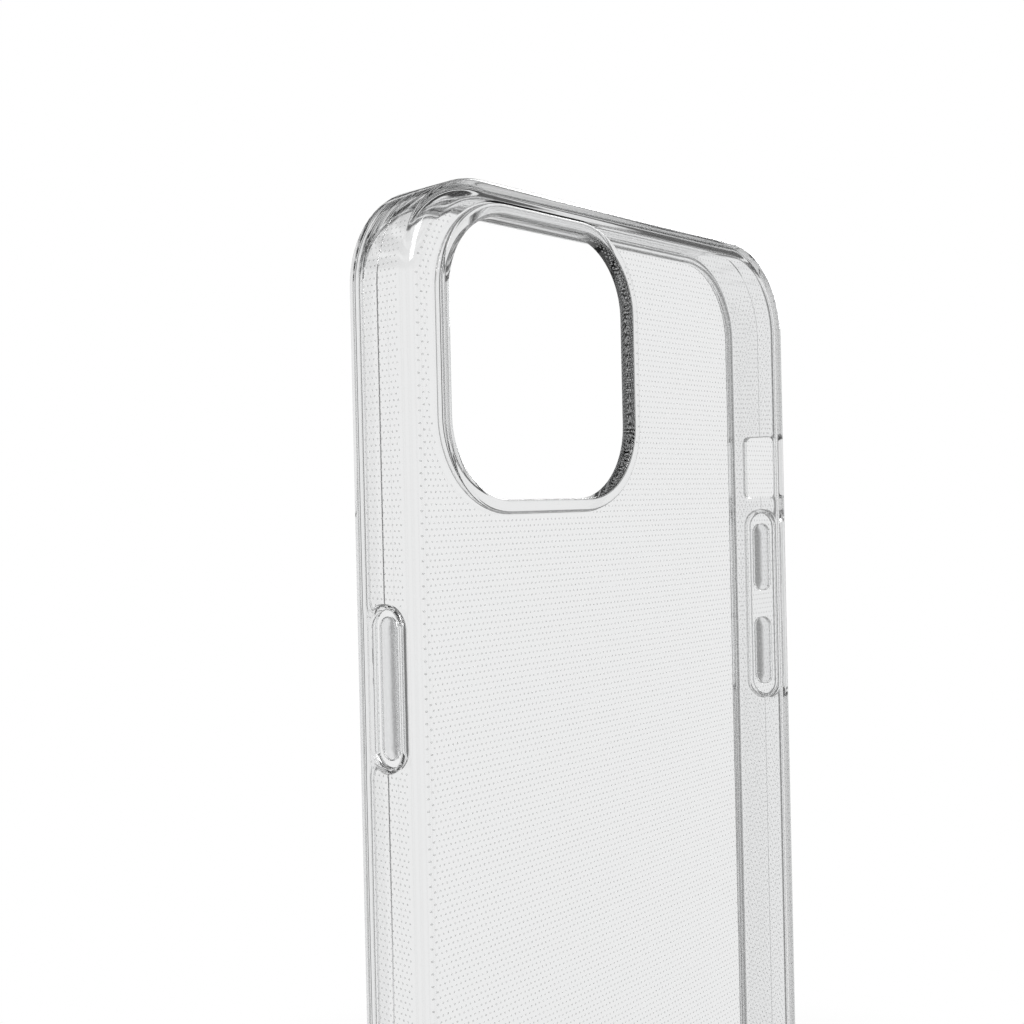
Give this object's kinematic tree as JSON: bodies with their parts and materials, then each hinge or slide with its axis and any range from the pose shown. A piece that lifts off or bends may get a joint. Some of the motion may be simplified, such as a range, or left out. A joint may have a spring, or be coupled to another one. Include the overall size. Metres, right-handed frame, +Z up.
{
  "type": "phone case",
  "caption": "Clear soft phone case: a thin flexible tray with a raised camera rim, overhanging lips, recessed side keys, a mute switch opening and bottom openings.",
  "frame": {"origin": "centre of the case's box at its bottom edge", "axes": "+Z up the length of the case, +Y towards the open side where the phone goes in, +X to the right seen from behind"},
  "size_m": [0.0744, 0.0106, 0.1496],
  "materials": {
    "clear_tpu": "clear glossy TPU with a fine moulded dot texture on its inner faces",
    "frosted_tpu": "clear TPU with a faintly frosted, satin surface"
  },
  "bodies": {
    "lower_shell": {"back_panel_lower": "clear_tpu", "wall_left_lower": "clear_tpu", "wall_right_lower": "clear_tpu", "wall_bottom": "clear_tpu", "corner_bottom_left": "clear_tpu", "corner_bottom_right": "clear_tpu"},
    "upper_shell": {"back_panel_upper": "clear_tpu", "wall_left_upper": "clear_tpu", "wall_right_upper": "clear_tpu", "wall_top": "clear_tpu", "corner_top_left": "clear_tpu", "corner_top_right": "clear_tpu", "camera_rim": "clear_tpu", "power_button_well": "clear_tpu", "volume_button_well": "clear_tpu"},
    "power_button": {"power_button": "frosted_tpu"},
    "volume_up_button": {"volume_up_button": "frosted_tpu"},
    "volume_down_button": {"volume_down_button": "frosted_tpu"}
  },
  "joints": [
    {"name": "shell_flex", "type": "hinge", "parent": "lower_shell", "child": "upper_shell", "pos_m": [0, -0.0045, 0.0515], "axis": [1, 0, 0], "range_deg": [0, 25], "stiffness_Nm_per_rad": 0.25},
    {"name": "power_press", "type": "slide", "parent": "upper_shell", "child": "power_button", "axis": [1, 0, 0], "range_m": [0, 0.0004], "stiffness_N_per_m": 800},
    {"name": "volume_up_press", "type": "slide", "parent": "upper_shell", "child": "volume_up_button", "axis": [-1, 0, 0], "range_m": [0, 0.0004], "stiffness_N_per_m": 800},
    {"name": "volume_down_press", "type": "slide", "parent": "upper_shell", "child": "volume_down_button", "axis": [-1, 0, 0], "range_m": [0, 0.0004], "stiffness_N_per_m": 800}
  ]
}
